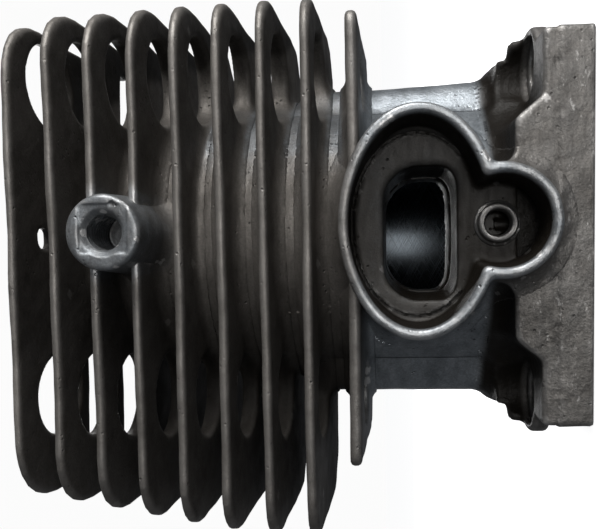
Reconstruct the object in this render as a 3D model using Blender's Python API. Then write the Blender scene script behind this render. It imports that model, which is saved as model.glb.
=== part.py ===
"""Air-cooled two-stroke cylinder with its head cast in one piece, standing on its base face.

Frame: origin in the middle of the part's footprint on the base plane, +Z along the bore
towards the head, the intake on the -Y side, the exhaust on the +Y side, in metres. Each
solid is drawn about the bore axis, and every object then stands at BORE_X.
Each named region of the casting is its own closed solid, with GAP between neighbours.
"""
import math

import bmesh
import bpy
from mathutils import Matrix, Vector

MM = 0.001
GAP = 0.3 * MM                    # clearance between neighbouring solids
CUT = 2.0 * MM                    # how far a cutter runs past the face it opens
FAR = 60.0 * MM                   # further than any part of the cylinder

# bore and barrel
BORE_R = 19.5 * MM
LINER_R = 20.6 * MM
BARREL_IN_R = LINER_R + GAP
BARREL_R = 23.5 * MM
BORE_TOP = 58.0 * MM

# base flange
FLANGE_HALF = 28.0 * MM
FLANGE_Z = 10.8 * MM
FLANGE_CORNER_R = 1.0 * MM
POCKET_Z = 6.6 * MM
POCKET_X = 17.0 * MM
POCKET_DEPTH = 14.4 * MM
POCKET_CORNER_R = 5.0 * MM
SCREW_X = 25.1 * MM
SCREW_Y = 16.7 * MM
SCREW_HOLE_R = 3.1 * MM
SEAT_R = 4.75 * MM
SEAT_Z = 6.0 * MM
LUG_R = 6.0 * MM

# cooling fins, counted from the head end down
FIN_COUNT = 9
FIN_TOP_Z = 84.2 * MM
FIN_PITCH = 6.3 * MM
LOW_FIN_Z = 33.5 * MM
FIN_T = 1.6 * MM
FIN_RIGHT = 34.9 * MM
FIN_RIGHT_TOP = 33.4 * MM         # reach of the first fin on the +X side
FIN_LEFT_TOP = 41.0 * MM          # reach of the first fin on the -X side
FIN_LEFT_STEP = 0.9 * MM          # each lower fin reaches this much further
FIN_LEFT_MAX = 45.9 * MM
FIN_FRONT = 29.0 * MM
FIN_FRONT_R = 10.0 * MM           # radius of the two front corners
FIN_REAR = 26.0 * MM
FIN_REAR_HALF = 16.0 * MM
FIN_REAR_R = 3.0 * MM
LEFT_SHOULDER_Y = 14.0 * MM       # where the fins are cut back on the -X side
LEFT_SHOULDER_W = 9.0 * MM
LEFT_SHOULDER_R = 4.0 * MM
RIGHT_SIDE_END_Y = 1.0 * MM       # where the straight +X edge ends
RIGHT_SHOULDER_Y = 8.0 * MM
RIGHT_SHOULDER_W = 4.0 * MM
SHOULDER_R = 2.0 * MM
RIGHT_SHOULDER_DROP = 1.5 * MM
CUT_BACK_FINS = 2                 # the first fins end sooner behind the screw holes
TOP_LEFT_END_Y = -7.0 * MM
TOP_RIGHT_END_Y = -3.6 * MM
TOP_STRIP_X = 30.6 * MM           # inner edge of the strip that runs on beside the cut
TOP_CUT_X = 18.2 * MM
TOP_CUT_R = 1.2 * MM
LOW_FIN_RIGHT = 31.3 * MM
LOW_FIN_LEFT = 33.8 * MM
ACCESS_R = 6.65 * MM              # screwdriver holes above the base screws
LOW_ACCESS_R = 5.0 * MM
FIN_HUG = 1.5 * MM                # width of fin that always runs round the core

# the fins reach further on the -X side, so the bore axis stands off the footprint's middle
BORE_X = (FIN_LEFT_MAX - FIN_RIGHT) / 2

# combustion head and spark plug well
HEAD_R = 22.0 * MM
HEAD_NECK_Z = 66.0 * MM
HEAD_TOP_R = 16.0 * MM
HEAD_TOP = FIN_TOP_Z + FIN_T / 2
DOME_R = 17.0 * MM
DOME_TOP = 66.0 * MM
WELL_R = 12.0 * MM
WELL_Z = 68.0 * MM
PLUG_R = 6.2 * MM
PLUG_SEAT_Z = 72.0 * MM
SLOT_W = 3.2 * MM
SLOT_END = 22.0 * MM
DOME_STEPS = 6

# intake spigot and the impulse lobe below it
SPIGOT_X = 1.0 * MM
SPIGOT_Z = 24.5 * MM
SPIGOT_A = 15.8 * MM
SPIGOT_B = 10.8 * MM
SPIGOT_WALL = 1.4 * MM
SPIGOT_FACE = 34.0 * MM
SPIGOT_FLOOR_Y = 27.4 * MM
SPIGOT_ROOT_Y = 17.1 * MM
LOBE_Z = 13.3 * MM
LOBE_R = 7.7 * MM
LOBE_BACK_Y = 23.9 * MM
IMPULSE_R = 1.85 * MM
IMPULSE_RING_R = 2.6 * MM
IMPULSE_RING_H = 1.2 * MM
DRILL_R = 1.0 * MM
DRILL_Y = 25.6 * MM
PORT_X = -0.7 * MM
PORT_Z = 25.1 * MM
PORT_HALF_W = 8.9 * MM
PORT_HALF_H = 4.4 * MM
PORT_CORNER_R = 3.2 * MM

# exhaust side
EXHAUST_Z = 36.3 * MM
EXHAUST_HALF_W = 10.5 * MM
EXHAUST_HALF_H = 5.0 * MM
EXHAUST_CORNER_R = 4.0 * MM
EXHAUST_WALL = 2.6 * MM
EXHAUST_OUTER_R = 6.0 * MM
EXHAUST_ROOT_Y = 17.6 * MM
EXHAUST_FACE = 34.0 * MM
EXHAUST_PLATE_T = 4.0 * MM
EXHAUST_PLATE_HALF_W = 22.0 * MM
EXHAUST_PLATE_HALF_H = 10.0 * MM
EXHAUST_SCREW_X = 17.3 * MM
EXHAUST_SCREW_R = 2.1 * MM
EXHAUST_BOSS_R = 3.6 * MM
EXHAUST_BOSS_Y = 20.0 * MM
EXHAUST_BOSS_FLOOR = 1.5 * MM      # metal left behind each exhaust thread
PORT_FIN_END = 9.0 * MM           # where fins stop beside the exhaust duct

# transfer ducts on the two sides of the bore
DUCT_R = 28.2 * MM
DUCT_TOP = 44.5 * MM
DUCT_HALF_ANGLE = math.radians(24)
CHANNEL_IN_R = 24.9 * MM
CHANNEL_R = 26.7 * MM
CHANNEL_HALF_ANGLE = math.radians(17)
TRANSFER_Z = 35.0 * MM
TRANSFER_HALF_H = 3.6 * MM
TRANSFER_HALF_W = 5.5 * MM
TRANSFER_CORNER_R = 1.5 * MM

# threaded boss for the cover screw
BOSS_X = 0.6 * MM
BOSS_Z = FIN_TOP_Z - 2.5 * FIN_PITCH
BOSS_R = 5.35 * MM
BOSS_FACE = 33.0 * MM
BOSS_ROOT_Y = 17.6 * MM
BOSS_THREAD_R = 2.6 * MM
BOSS_THREAD_DEPTH = 9.0 * MM

ROUND = 48                        # sides of the large round surfaces
OVAL_ROUND = 40                   # sides of the spigot oval
LOBE_ROUND = 32                   # sides of the lobe and the plug boss
RING_ROUND = 24                   # sides of seats, access holes and small rings
SMALL_ROUND = 20                  # sides of holes and screw bosses
DRILL_ROUND = 12                  # sides of the impulse drilling

CAST = (0.23, 0.225, 0.22, 1.0)
CAST_LIGHT = (0.42, 0.43, 0.45, 1.0)
MACHINED = (0.62, 0.62, 0.61, 1.0)
PLATED = (0.33, 0.36, 0.42, 1.0)


def clear_scene():
    for item in list(bpy.data.objects):
        bpy.data.objects.remove(item, do_unlink=True)


def material(name, colour, roughness, metallic):
    found = bpy.data.materials.get(name)
    if found:
        return found
    made = bpy.data.materials.new(name)
    made.use_nodes = True
    shader = made.node_tree.nodes["Principled BSDF"]
    shader.inputs["Base Color"].default_value = colour
    shader.inputs["Roughness"].default_value = roughness
    shader.inputs["Metallic"].default_value = metallic
    return made


def cast_material():
    return material("cast_aluminium", CAST, 0.62, 0.8)


def light_cast_material():
    return material("bright_cast_aluminium", CAST_LIGHT, 0.5, 0.85)


def machined_material():
    return material("machined_aluminium", MACHINED, 0.32, 0.95)


def plated_material():
    return material("plated_bore", PLATED, 0.18, 1.0)


# ---------------------------------------------------------------- outlines

def arc(centre_x, centre_y, radius, start, end, steps):
    points = []
    for i in range(steps + 1):
        angle = start + (end - start) * i / steps
        points.append((centre_x + radius * math.cos(angle), centre_y + radius * math.sin(angle)))
    return points


def circle(centre_x, centre_y, radius, sides):
    return arc(centre_x, centre_y, radius, 0, 2 * math.pi, sides)[:-1]


def ellipse(centre_x, centre_y, half_x, half_y, sides):
    return [(centre_x + half_x * x, centre_y + half_y * y) for x, y in circle(0, 0, 1, sides)]


def rounded_box(centre_x, centre_y, half_x, half_y, radius, steps=4):
    points = []
    corners = ((1, -1, -90), (1, 1, 0), (-1, 1, 90), (-1, -1, 180))
    for side_x, side_y, start in corners:
        middle_x = centre_x + side_x * (half_x - radius)
        middle_y = centre_y + side_y * (half_y - radius)
        begin = math.radians(start)
        points += arc(middle_x, middle_y, radius, begin, begin + math.pi / 2, steps)
    return points


def sector(inner, outer, middle, half_angle, steps=8):
    outside = arc(0, 0, outer, middle - half_angle, middle + half_angle, steps)
    inside = arc(0, 0, inner, middle + half_angle, middle - half_angle, steps)
    return outside + inside


def rounded_polygon(corners, steps=4):
    """Corners are (x, y, radius), counter-clockwise; each is replaced by its fillet arc."""
    points = []
    count = len(corners)
    for i, (x, y, radius) in enumerate(corners):
        here = Vector((x, y))
        back = (Vector(corners[i - 1][:2]) - here).normalized()
        ahead = (Vector(corners[(i + 1) % count][:2]) - here).normalized()
        half = back.angle(ahead) / 2
        reach = radius / math.tan(half)
        centre = here + (back + ahead).normalized() * radius / math.sin(half)
        first = here + back * reach - centre
        last = here + ahead * reach - centre
        turn = first.angle_signed(last)
        for j in range(steps + 1):
            spoke = first.copy()
            spoke.rotate(Matrix.Rotation(-turn * j / steps, 2))
            points.append(tuple(centre + spoke))
    return points


# ---------------------------------------------------------------- solids

def finish(name, mesh_data, look=None):
    mesh = bpy.data.meshes.new(name)
    bmesh.ops.remove_doubles(mesh_data, verts=mesh_data.verts, dist=1e-7)
    bmesh.ops.recalc_face_normals(mesh_data, faces=mesh_data.faces)
    mesh_data.to_mesh(mesh)
    mesh_data.free()
    item = bpy.data.objects.new(name, mesh)
    bpy.context.collection.objects.link(item)
    if look:
        mesh.materials.append(look)
    return item


def prism(name, outline, low, high, look=None, holes=()):
    """Upright prism of an outline between two heights, with through holes."""
    shape = bmesh.new()
    edges = []
    for loop in [outline, *holes]:
        verts = [shape.verts.new((x, y, low)) for x, y in loop]
        edges += [shape.edges.new((verts[i - 1], verts[i])) for i in range(len(verts))]
    bmesh.ops.triangle_fill(shape, use_beauty=True, use_dissolve=False, edges=edges)
    lifted = bmesh.ops.extrude_face_region(shape, geom=list(shape.faces))
    raised = [part for part in lifted["geom"] if isinstance(part, bmesh.types.BMVert)]
    bmesh.ops.translate(shape, verts=raised, vec=(0, 0, high - low))
    return finish(name, shape, look)


def along_y(item):
    """Turn an upright prism so that its height runs towards -Y and its outline lies in XZ."""
    item.data.transform(Matrix.Rotation(math.pi / 2, 4, "X"))
    return item


def wall_prism(name, outline, back, front, look=None, holes=()):
    """Prism of an XZ outline from y = -back to y = -front (front is nearer the intake side)."""
    return along_y(prism(name, outline, back, front, look, holes))


def turned(name, profile, look=None, sides=ROUND):
    """Solid of revolution about Z from a closed (radius, height) profile."""
    shape = bmesh.new()
    rings = []
    for i in range(sides):
        angle = 2 * math.pi * i / sides
        ring = [shape.verts.new((r * math.cos(angle), r * math.sin(angle), z)) for r, z in profile]
        rings.append(ring)
    for i in range(sides):
        here = rings[i]
        there = rings[(i + 1) % sides]
        for j in range(len(profile)):
            k = (j + 1) % len(profile)
            shape.faces.new((here[j], there[j], there[k], here[k]))
    return finish(name, shape, look)


def cut(item, *cutters):
    """Subtract cutters from an item and keep the result as its mesh."""
    for cutter in cutters:
        step = item.modifiers.new("cut", "BOOLEAN")
        step.operation = "DIFFERENCE"
        step.object = cutter
    settle(item)
    for cutter in cutters:
        bpy.data.objects.remove(cutter, do_unlink=True)
    return item


def join(item, *others):
    for other in others:
        step = item.modifiers.new("join", "BOOLEAN")
        step.operation = "UNION"
        step.object = other
    settle(item)
    for other in others:
        bpy.data.objects.remove(other, do_unlink=True)
    return item


def settle(item):
    """Keep an item's evaluated mesh, with the seams inside its flat faces dissolved."""
    bpy.context.view_layer.update()
    evaluated = item.evaluated_get(bpy.context.evaluated_depsgraph_get())
    mesh = bpy.data.meshes.new_from_object(evaluated)
    item.modifiers.clear()
    item.data = mesh
    shape = bmesh.new()
    shape.from_mesh(mesh)
    bmesh.ops.remove_doubles(shape, verts=shape.verts, dist=1e-6)
    bmesh.ops.dissolve_limit(shape, angle_limit=math.radians(0.1), verts=shape.verts,
                             edges=shape.edges)
    bmesh.ops.triangulate(shape, faces=shape.faces)
    shape.to_mesh(mesh)
    shape.free()


def smooth(item, angle=30):
    item.data.shade_smooth()
    item.data.set_sharp_from_angle(angle=math.radians(angle))
    return item


def screw_places():
    return [(sx * SCREW_X, sy * SCREW_Y) for sy in (-1, 1) for sx in (-1, 1)]


# ---------------------------------------------------------------- cutters

def port_window(name, middle_x, middle_z, half_w, half_h, radius, back, front):
    outline = rounded_box(middle_x, middle_z, half_w, half_h, radius)
    return wall_prism(name, outline, back, front)


def intake_window():
    return port_window("c_intake", PORT_X, PORT_Z, PORT_HALF_W, PORT_HALF_H, PORT_CORNER_R,
                       0, SPIGOT_FACE + CUT)


def exhaust_window():
    return port_window("c_exhaust", 0, EXHAUST_Z, EXHAUST_HALF_W, EXHAUST_HALF_H,
                       EXHAUST_CORNER_R, -EXHAUST_FACE - CUT, 0)


def transfer_window(side):
    outline = rounded_box(0, TRANSFER_Z, TRANSFER_HALF_W, TRANSFER_HALF_H, TRANSFER_CORNER_R)
    window = wall_prism("c_transfer", outline, 0, CHANNEL_IN_R + MM)
    window.data.transform(Matrix.Rotation(side * math.pi / 2, 4, "Z"))
    return window


def port_windows():
    return [intake_window(), exhaust_window(), transfer_window(-1), transfer_window(1)]


# ---------------------------------------------------------------- bore, barrel and head

def bore_liner():
    liner = prism("bore_liner", circle(0, 0, LINER_R, ROUND), 0, BORE_TOP, plated_material(),
                  [circle(0, 0, BORE_R, ROUND)])
    return smooth(cut(liner, *port_windows()))


def barrel_wall():
    wall = prism("barrel_wall", circle(0, 0, BARREL_R, ROUND), FLANGE_Z + GAP, BORE_TOP,
                 light_cast_material(), [circle(0, 0, BARREL_IN_R, ROUND)])
    return smooth(cut(wall, *port_windows()))


def head_radius(height):
    """Outer radius of the head core, which narrows from its neck to its top."""
    share = max(0.0, (height - HEAD_NECK_Z) / (HEAD_TOP - HEAD_NECK_Z))
    return HEAD_R + (HEAD_TOP_R - HEAD_R) * share


def combustion_head():
    low = BORE_TOP + GAP
    dome = []
    for i in range(DOME_STEPS + 1):
        angle = math.pi / 2 * i / DOME_STEPS
        floor_r = PLUG_R + (DOME_R - PLUG_R) * math.cos(angle)
        dome.append((floor_r, low + (DOME_TOP - low) * math.sin(angle)))
    outside = [(HEAD_TOP_R, HEAD_TOP), (HEAD_R, HEAD_NECK_Z), (HEAD_R, low)]
    well = [(PLUG_R, WELL_Z), (WELL_R, WELL_Z), (WELL_R, HEAD_TOP)]
    return smooth(turned("combustion_head", outside + dome + well, cast_material()))


def spark_plug_boss():
    low = WELL_Z + GAP
    outer = WELL_R - GAP
    chamfer = 0.8 * MM
    profile = [(outer, PLUG_SEAT_Z - chamfer), (outer, low), (PLUG_R, low),
               (PLUG_R, PLUG_SEAT_Z - chamfer), (PLUG_R + chamfer, PLUG_SEAT_Z),
               (outer - chamfer, PLUG_SEAT_Z)]
    return smooth(turned("spark_plug_boss", profile, machined_material(), LOBE_ROUND))


# ---------------------------------------------------------------- base flange

def flange_outline():
    """Square flange whose four screw lugs bulge past its two side faces."""
    reach = math.sqrt(LUG_R ** 2 - (FLANGE_HALF - SCREW_X) ** 2)
    swing = math.atan2(reach, FLANGE_HALF - SCREW_X)
    inset = FLANGE_HALF - FLANGE_CORNER_R
    quarter = math.pi / 2
    points = arc(inset, -inset, FLANGE_CORNER_R, -quarter, 0, 3)
    points += arc(SCREW_X, -SCREW_Y, LUG_R, -swing, swing, 8)
    points += arc(SCREW_X, SCREW_Y, LUG_R, -swing, swing, 8)
    points += arc(inset, inset, FLANGE_CORNER_R, 0, quarter, 3)
    return points + [(-x, -y) for x, y in points]


def corner_pocket(side_x, side_y):
    """Cutter that lowers one corner of the flange around its screw seat."""
    near = POCKET_X
    far = FLANGE_HALF + LUG_R
    start = FLANGE_HALF - POCKET_DEPTH
    corners = [(near, start, POCKET_CORNER_R), (far, start, MM), (far, far, MM),
               (near, far, MM)]
    outline = [(side_x * x, side_y * y) for x, y in rounded_polygon(corners)]
    pocket = prism("c_pocket", outline, POCKET_Z, FLANGE_Z + CUT)
    keep = prism("c_keep", circle(0, 0, BARREL_R + MM, ROUND), 0, FLANGE_Z + 2 * CUT)
    return cut(pocket, keep)


def base_flange():
    channels = [sector(CHANNEL_IN_R, CHANNEL_R, middle, CHANNEL_HALF_ANGLE)
                for middle in (0, math.pi)]
    holes = [circle(x, y, SCREW_HOLE_R, SMALL_ROUND) for x, y in screw_places()]
    holes.append(circle(0, 0, BARREL_IN_R, ROUND))
    flange = prism("base_flange", flange_outline(), 0, FLANGE_Z, cast_material(),
                   holes + channels)
    cutters = [corner_pocket(sx, sy) for sx in (-1, 1) for sy in (-1, 1)]
    for x, y in screw_places():
        cutters.append(prism("c_seat", circle(x, y, SEAT_R, RING_ROUND), SEAT_Z,
                             FLANGE_Z + CUT))
    cutters.append(lobe_prism(GAP, LOBE_BACK_Y - GAP, FLANGE_HALF + CUT))
    cutters.append(impulse_drilling())
    return smooth(cut(flange, *cutters))


# ---------------------------------------------------------------- transfer ducts

def transfer_duct(name, side):
    middle = 0 if side > 0 else math.pi
    low = FLANGE_Z + GAP
    shell = prism(name, sector(BARREL_R + GAP, DUCT_R, middle, DUCT_HALF_ANGLE, 12), low,
                  DUCT_TOP, light_cast_material())
    channel = prism("c_channel", sector(CHANNEL_IN_R, CHANNEL_R, middle, CHANNEL_HALF_ANGLE),
                    low - CUT, TRANSFER_Z + TRANSFER_HALF_H)
    return smooth(cut(shell, channel, transfer_window(side)))


# ---------------------------------------------------------------- intake side

def spigot_outline(growth=0.0):
    return ellipse(SPIGOT_X, SPIGOT_Z, SPIGOT_A + growth, SPIGOT_B + growth, OVAL_ROUND)


def barrel_cutter():
    return prism("c_barrel", circle(0, 0, BARREL_R + GAP, ROUND), -CUT, HEAD_TOP)


def duct_cutters():
    """Room around both transfer ducts for what is cast against them."""
    room = GAP / DUCT_R
    return [prism("c_duct", sector(BARREL_R - GAP, DUCT_R + GAP, middle, DUCT_HALF_ANGLE + room),
                  FLANGE_Z, DUCT_TOP + GAP) for middle in (0, math.pi)]


def lobe_prism(growth, back, front):
    outline = circle(SPIGOT_X, LOBE_Z, LOBE_R + growth, LOBE_ROUND)
    return wall_prism("c_lobe", outline, back, front)


def impulse_drilling():
    """Cutter for the upright hole from the base face to the impulse passage."""
    return prism("c_drill", circle(SPIGOT_X, -DRILL_Y, DRILL_R, DRILL_ROUND), -CUT, LOBE_Z)


def spigot_hollow():
    """The space inside the rim, which runs from the oval into the round lobe."""
    front = SPIGOT_FACE + CUT
    oval = wall_prism("c_oval", spigot_outline(-SPIGOT_WALL), SPIGOT_FLOOR_Y, front)
    return join(oval, lobe_prism(-SPIGOT_WALL, SPIGOT_FLOOR_Y, front + MM))


def intake_spigot():
    """Oval spigot with the round impulse lobe, cast as one wall on one floor."""
    spigot = wall_prism("intake_spigot", spigot_outline(), SPIGOT_ROOT_Y, SPIGOT_FACE,
                        light_cast_material())
    join(spigot, lobe_prism(0, LOBE_BACK_Y, SPIGOT_FACE))
    hole = wall_prism("c_hole", circle(SPIGOT_X, LOBE_Z, IMPULSE_R, SMALL_ROUND), DRILL_Y,
                      SPIGOT_FACE)
    return smooth(cut(spigot, spigot_hollow(), intake_window(), hole, impulse_drilling(),
                      barrel_cutter(), *duct_cutters()))


def impulse_fitting():
    """Short raised tube round the mouth of the impulse passage."""
    low = SPIGOT_FLOOR_Y + GAP
    outside = circle(SPIGOT_X, LOBE_Z, IMPULSE_RING_R, RING_ROUND)
    inside = circle(SPIGOT_X, LOBE_Z, IMPULSE_R, RING_ROUND)
    return smooth(wall_prism("impulse_fitting", outside, low, low + IMPULSE_RING_H,
                             machined_material(), [inside]))


# ---------------------------------------------------------------- exhaust side

def exhaust_duct():
    outer = rounded_box(0, EXHAUST_Z, EXHAUST_HALF_W + EXHAUST_WALL,
                        EXHAUST_HALF_H + EXHAUST_WALL, EXHAUST_OUTER_R)
    back = EXHAUST_FACE - EXHAUST_PLATE_T - GAP
    duct = wall_prism("exhaust_duct", outer, -back, -EXHAUST_ROOT_Y, light_cast_material())
    return smooth(cut(duct, exhaust_window(), barrel_cutter(), *duct_cutters()))


def exhaust_flange():
    outline = rounded_box(0, EXHAUST_Z, EXHAUST_PLATE_HALF_W, EXHAUST_PLATE_HALF_H,
                          EXHAUST_CORNER_R)
    port = rounded_box(0, EXHAUST_Z, EXHAUST_HALF_W, EXHAUST_HALF_H, EXHAUST_CORNER_R)
    screws = [circle(side * EXHAUST_SCREW_X, EXHAUST_Z, EXHAUST_SCREW_R, SMALL_ROUND)
              for side in (-1, 1)]
    plate = wall_prism("exhaust_flange", outline, -EXHAUST_FACE,
                       -EXHAUST_FACE + EXHAUST_PLATE_T, machined_material(), [port, *screws])
    return smooth(plate)


def exhaust_screw_boss(name, side):
    x = side * EXHAUST_SCREW_X
    boss = wall_prism(name, circle(x, EXHAUST_Z, EXHAUST_BOSS_R, SMALL_ROUND),
                      -EXHAUST_FACE + EXHAUST_PLATE_T + GAP, -EXHAUST_BOSS_Y,
                      cast_material())
    bore = wall_prism("c_thread", circle(x, EXHAUST_Z, EXHAUST_SCREW_R, SMALL_ROUND),
                      -EXHAUST_FACE, -EXHAUST_BOSS_Y - EXHAUST_BOSS_FLOOR)
    return smooth(cut(boss, bore))


# ---------------------------------------------------------------- cover screw boss

def cover_screw_boss():
    boss = wall_prism("cover_screw_boss", circle(BOSS_X, BOSS_Z, BOSS_R, RING_ROUND),
                      BOSS_ROOT_Y, BOSS_FACE, machined_material())
    thread = wall_prism("c_thread", circle(BOSS_X, BOSS_Z, BOSS_THREAD_R, SMALL_ROUND),
                        BOSS_FACE - BOSS_THREAD_DEPTH, BOSS_FACE + CUT)
    core = turned("c_core", [(MM, BORE_TOP), (MM, HEAD_TOP + CUT),
                             (HEAD_TOP_R + GAP, HEAD_TOP + CUT), (HEAD_TOP_R + GAP, HEAD_TOP),
                             (HEAD_R + GAP, HEAD_NECK_Z), (HEAD_R + GAP, BORE_TOP)])
    return smooth(cut(boss, thread, core))


def boss_cutter():
    outline = circle(BOSS_X, BOSS_Z, BOSS_R + GAP, RING_ROUND)
    return wall_prism("c_boss", outline, 0, BOSS_FACE + CUT)


# ---------------------------------------------------------------- cooling fins

def fin_height(number):
    if number == FIN_COUNT:
        return LOW_FIN_Z
    return FIN_TOP_Z - FIN_PITCH * (number - 1)


def fin_reach(number):
    """How far a fin reaches from the bore axis on the -X side and on the +X side."""
    if number == FIN_COUNT:
        return LOW_FIN_LEFT, LOW_FIN_RIGHT
    left = min(FIN_LEFT_TOP + FIN_LEFT_STEP * (number - 1), FIN_LEFT_MAX)
    return left, FIN_RIGHT_TOP if number == 1 else FIN_RIGHT


def fin_outline(number):
    """Plan of a fin: wide at the intake side, cut back beside the rear base screws."""
    left, right = fin_reach(number)
    front = [(-left, -FIN_FRONT, FIN_FRONT_R), (right, -FIN_FRONT, FIN_FRONT_R)]
    rear = [(FIN_REAR_HALF, FIN_REAR, FIN_REAR_R), (-FIN_REAR_HALF, FIN_REAR, FIN_REAR_R)]
    if number <= CUT_BACK_FINS:
        right_side = [(right, RIGHT_SIDE_END_Y, TOP_CUT_R),
                      (TOP_STRIP_X, RIGHT_SIDE_END_Y, TOP_CUT_R),
                      (TOP_STRIP_X, TOP_RIGHT_END_Y, TOP_CUT_R),
                      (TOP_CUT_X, TOP_RIGHT_END_Y, TOP_CUT_R)]
        left_side = [(-TOP_CUT_X, TOP_LEFT_END_Y, TOP_CUT_R), (-left, TOP_LEFT_END_Y, FIN_REAR_R)]
    else:
        right_side = [(right, RIGHT_SIDE_END_Y, SHOULDER_R),
                      (right - RIGHT_SHOULDER_W, RIGHT_SHOULDER_Y - RIGHT_SHOULDER_DROP,
                       SHOULDER_R),
                      (FIN_REAR_HALF + SHOULDER_R, RIGHT_SHOULDER_Y, SHOULDER_R)]
        left_side = [(-FIN_REAR_HALF, LEFT_SHOULDER_Y, MM),
                     (-left + LEFT_SHOULDER_W, LEFT_SHOULDER_Y, LEFT_SHOULDER_R),
                     (-left, MM, FIN_REAR_R)]
    return rounded_polygon(front + right_side + rear + left_side)


def core_radius(height):
    """Radius of the hole that the barrel or the head fills in a fin at this height."""
    if height < BORE_TOP:
        return BARREL_R + GAP
    return head_radius(height - FIN_T / 2) + GAP


def half_space(side_x, side_y, start):
    """Cutter for everything on one side of a plane across X or Y."""
    middle_x = side_x * (start + FAR)
    middle_y = side_y * (start + FAR)
    return prism("c_half", rounded_box(middle_x, middle_y, FAR, FAR, MM, 1), 0, HEAD_TOP)


def cooling_fin(name, number, keep_side=0):
    height = fin_height(number)
    low = height - FIN_T / 2
    high = height + FIN_T / 2
    fin = prism(name, fin_outline(number), low, high, cast_material())
    access = LOW_ACCESS_R if number == FIN_COUNT else ACCESS_R
    cut(fin, *[prism("c_access", circle(x, y, access, RING_ROUND), low - CUT, high + CUT)
               for x, y in screw_places() if y < 0])
    core = core_radius(height)
    join(fin, prism("j_hug", circle(0, 0, core + FIN_HUG, ROUND), low, high))
    cutters = [prism("c_core", circle(0, 0, core, ROUND), low - CUT, high + CUT)]
    if number == 1:
        middle = (SLOT_END + HEAD_TOP_R) / 2
        slot = rounded_box(SPIGOT_X / 2, -middle + MM, SLOT_W / 2, SLOT_END - middle + MM, MM)
        cutters.append(prism("c_slot", slot, low - CUT, high + CUT))
    if abs(height - BOSS_Z) < BOSS_R + FIN_T:
        cutters.append(boss_cutter())
    if height < DUCT_TOP:
        cutters += [*duct_cutters(), half_space(0, 1, PORT_FIN_END)]
    if keep_side:
        cutters += [wall_prism("c_spigot", spigot_outline(GAP), 0, SPIGOT_FACE + CUT),
                    half_space(-keep_side, 0, 0)]
    return smooth(cut(fin, *cutters))


def main():
    clear_scene()
    base_flange()
    bore_liner()
    barrel_wall()
    combustion_head()
    spark_plug_boss()
    transfer_duct("transfer_duct_left", -1)
    transfer_duct("transfer_duct_right", 1)
    intake_spigot()
    impulse_fitting()
    exhaust_duct()
    exhaust_flange()
    exhaust_screw_boss("exhaust_screw_boss_left", -1)
    exhaust_screw_boss("exhaust_screw_boss_right", 1)
    cover_screw_boss()
    for number in range(1, FIN_COUNT):
        cooling_fin(f"cooling_fin_{number}", number)
    cooling_fin("cooling_fin_9_left", FIN_COUNT, -1)
    cooling_fin("cooling_fin_9_right", FIN_COUNT, 1)
    for item in bpy.data.objects:
        item.location.x = BORE_X


main()
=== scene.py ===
"""Looks of the air-cooled two-stroke cylinder with its cast-in head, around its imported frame.

Each cast piece is a field: a function of X, Y, Z in millimetres about the bore axis (X to the
narrow side of the fins, Y towards the exhaust, Z up from the base plane) that is negative
inside the metal. surface_net meshes its zero surface. Neighbouring pieces of the one casting
reach slightly into each other, and each carries its own fillet onto the surface it grows from.
"""
import itertools
import math

import bpy
import numpy as np
from mathutils import Euler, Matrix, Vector


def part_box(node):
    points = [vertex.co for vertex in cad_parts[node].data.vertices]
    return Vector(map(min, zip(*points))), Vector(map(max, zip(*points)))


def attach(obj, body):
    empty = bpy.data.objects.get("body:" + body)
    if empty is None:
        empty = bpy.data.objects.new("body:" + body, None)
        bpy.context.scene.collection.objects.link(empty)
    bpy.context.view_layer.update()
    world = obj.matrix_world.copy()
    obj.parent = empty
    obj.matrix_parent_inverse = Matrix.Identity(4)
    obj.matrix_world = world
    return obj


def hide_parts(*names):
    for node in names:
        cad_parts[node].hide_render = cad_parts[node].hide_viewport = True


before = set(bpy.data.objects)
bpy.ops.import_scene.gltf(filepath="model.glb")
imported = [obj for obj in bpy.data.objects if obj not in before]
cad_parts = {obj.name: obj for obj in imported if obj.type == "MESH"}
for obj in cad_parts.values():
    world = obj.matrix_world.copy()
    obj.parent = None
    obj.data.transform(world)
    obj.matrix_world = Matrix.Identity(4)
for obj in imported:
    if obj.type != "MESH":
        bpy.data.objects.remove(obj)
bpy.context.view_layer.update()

MM = 0.001


def span(node):
    """Lowest and highest corner of a CAD node, in millimetres about the bore axis."""
    low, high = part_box(node)
    return (np.array(low) - AXIS) / MM, (np.array(high) - AXIS) / MM


LINER_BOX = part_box("bore_liner")
AXIS = np.array([(LINER_BOX[0].x + LINER_BOX[1].x) / 2, 0.0, 0.0])

# ---------------------------------------------------------------- sizes, in millimetres

# from the frame
LINER_R = span("bore_liner")[1][0]
BARREL_R = span("barrel_wall")[1][0]
BORE_TOP = span("barrel_wall")[1][2]
DUCT_TOP = span("transfer_duct_right")[1][2]
HEAD_R = span("combustion_head")[1][0]
HEAD_TOP = span("combustion_head")[1][2]
FLANGE_HALF = span("base_flange")[1][1]
FLANGE_Z = span("base_flange")[1][2]
FLANGE_REACH = span("base_flange")[1][0]
SPIGOT_LOW, SPIGOT_HIGH = span("intake_spigot")
SPIGOT_FACE = -SPIGOT_LOW[1]
BOSS_LOW, BOSS_HIGH = span("cover_screw_boss")
BOSS_FACE = -BOSS_LOW[1]
PLATE_LOW, PLATE_HIGH = span("exhaust_flange")
PLUG_SEAT_Z = span("spark_plug_boss")[1][2]

# bore and head
BORE_R = 19.5
LINER_MESH_R = 21                 # half of the box that the liner is meshed in
WELL_R = 12.0
WELL_Z = 68.0
PLUG_R = 6.3
PLUG_PITCH = 1.25
DOME_R = 17.0
DOME_TOP = 66.0
HEAD_NECK_Z = 66.0
HEAD_TOP_R = 16.0

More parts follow.
